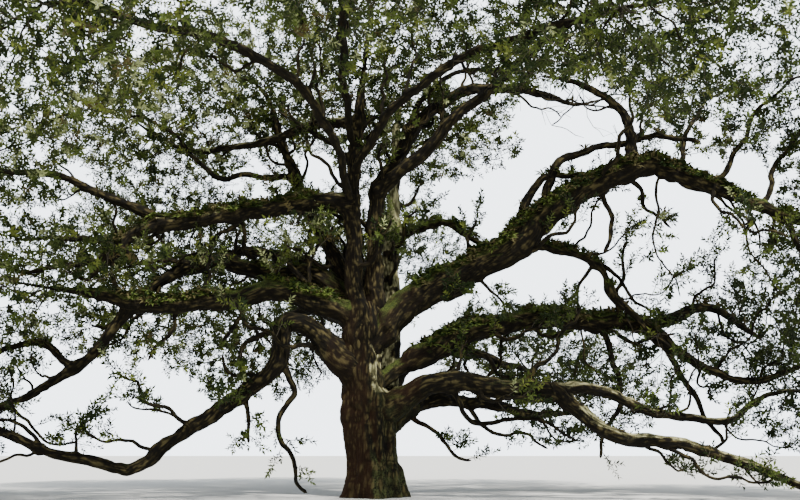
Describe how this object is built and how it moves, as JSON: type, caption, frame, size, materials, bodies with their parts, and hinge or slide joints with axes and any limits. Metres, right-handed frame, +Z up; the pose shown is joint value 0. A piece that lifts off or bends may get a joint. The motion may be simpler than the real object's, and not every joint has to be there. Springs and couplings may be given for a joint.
{
  "type": "live oak tree",
  "caption": "Spreading live oak with a short stout trunk, long crooked boughs that sweep low and wide, and a broad domed crown of separate masses of evergreen foliage",
  "frame": {"origin": "the middle of the flat cut at the foot of the trunk, at ground level", "axes": "+Z up; +X along the widest spread, to the right in the picture; +Y away from the picture's camera"},
  "size_m": [37.4833, 28.6892, 18.3562],
  "materials": {
    "bark": "rough furrowed grey-brown bark with moss and fern on the upper sides",
    "foliage": "small leathery dark olive green leaves in loose sprays on thin grey twigs"
  },
  "bodies": {
    "root": {"trunk": "bark", "bough_back": "bark", "bough_back_left": "bark", "bough_back_low": "bark", "bough_back_right": "bark", "bough_front": "bark", "bough_front_left": "bark", "bough_front_right": "bark", "bough_left_back": "bark", "bough_left_dark": "bark", "bough_left_dark_outer": "bark", "bough_left_fern": "bark", "bough_left_lit": "bark", "bough_left_low_crook": "bark", "bough_left_low_rise": "bark", "bough_left_low_sweep": "bark", "bough_right_high": "bark", "bough_right_high_outer": "bark", "bough_right_low": "bark", "bough_right_low_outer": "bark", "bough_right_low_upper": "bark", "bough_right_mid": "bark", "bough_right_mid_fork": "bark", "bough_right_mid_outer": "bark", "leader_back": "bark", "leader_centre": "bark", "leader_left": "bark", "leader_right": "bark", "limb_left_upper": "bark", "limb_right_crest": "bark", "limb_right_hanging": "bark", "limb_right_top": "bark", "limb_top_left": "bark", "foliage_back": "foliage", "foliage_back_left": "foliage", "foliage_back_low": "foliage", "foliage_back_right": "foliage", "foliage_back_top": "foliage", "foliage_crown_top": "foliage", "foliage_front": "foliage", "foliage_front_left": "foliage", "foliage_front_right": "foliage", "foliage_left_back": "foliage", "foliage_left_dark": "foliage", "foliage_left_drooping": "foliage", "foliage_left_end": "foliage", "foliage_left_fern": "foliage", "foliage_left_ground": "foliage", "foliage_left_shoulder": "foliage", "foliage_left_top": "foliage", "foliage_right_crest": "foliage", "foliage_right_end": "foliage", "foliage_right_fork": "foliage", "foliage_right_ground": "foliage", "foliage_right_hanging": "foliage", "foliage_right_low": "foliage", "foliage_right_middle": "foliage", "foliage_right_shoulder": "foliage", "foliage_right_top": "foliage", "foliage_top_left": "foliage"}
  },
  "joints": []
}
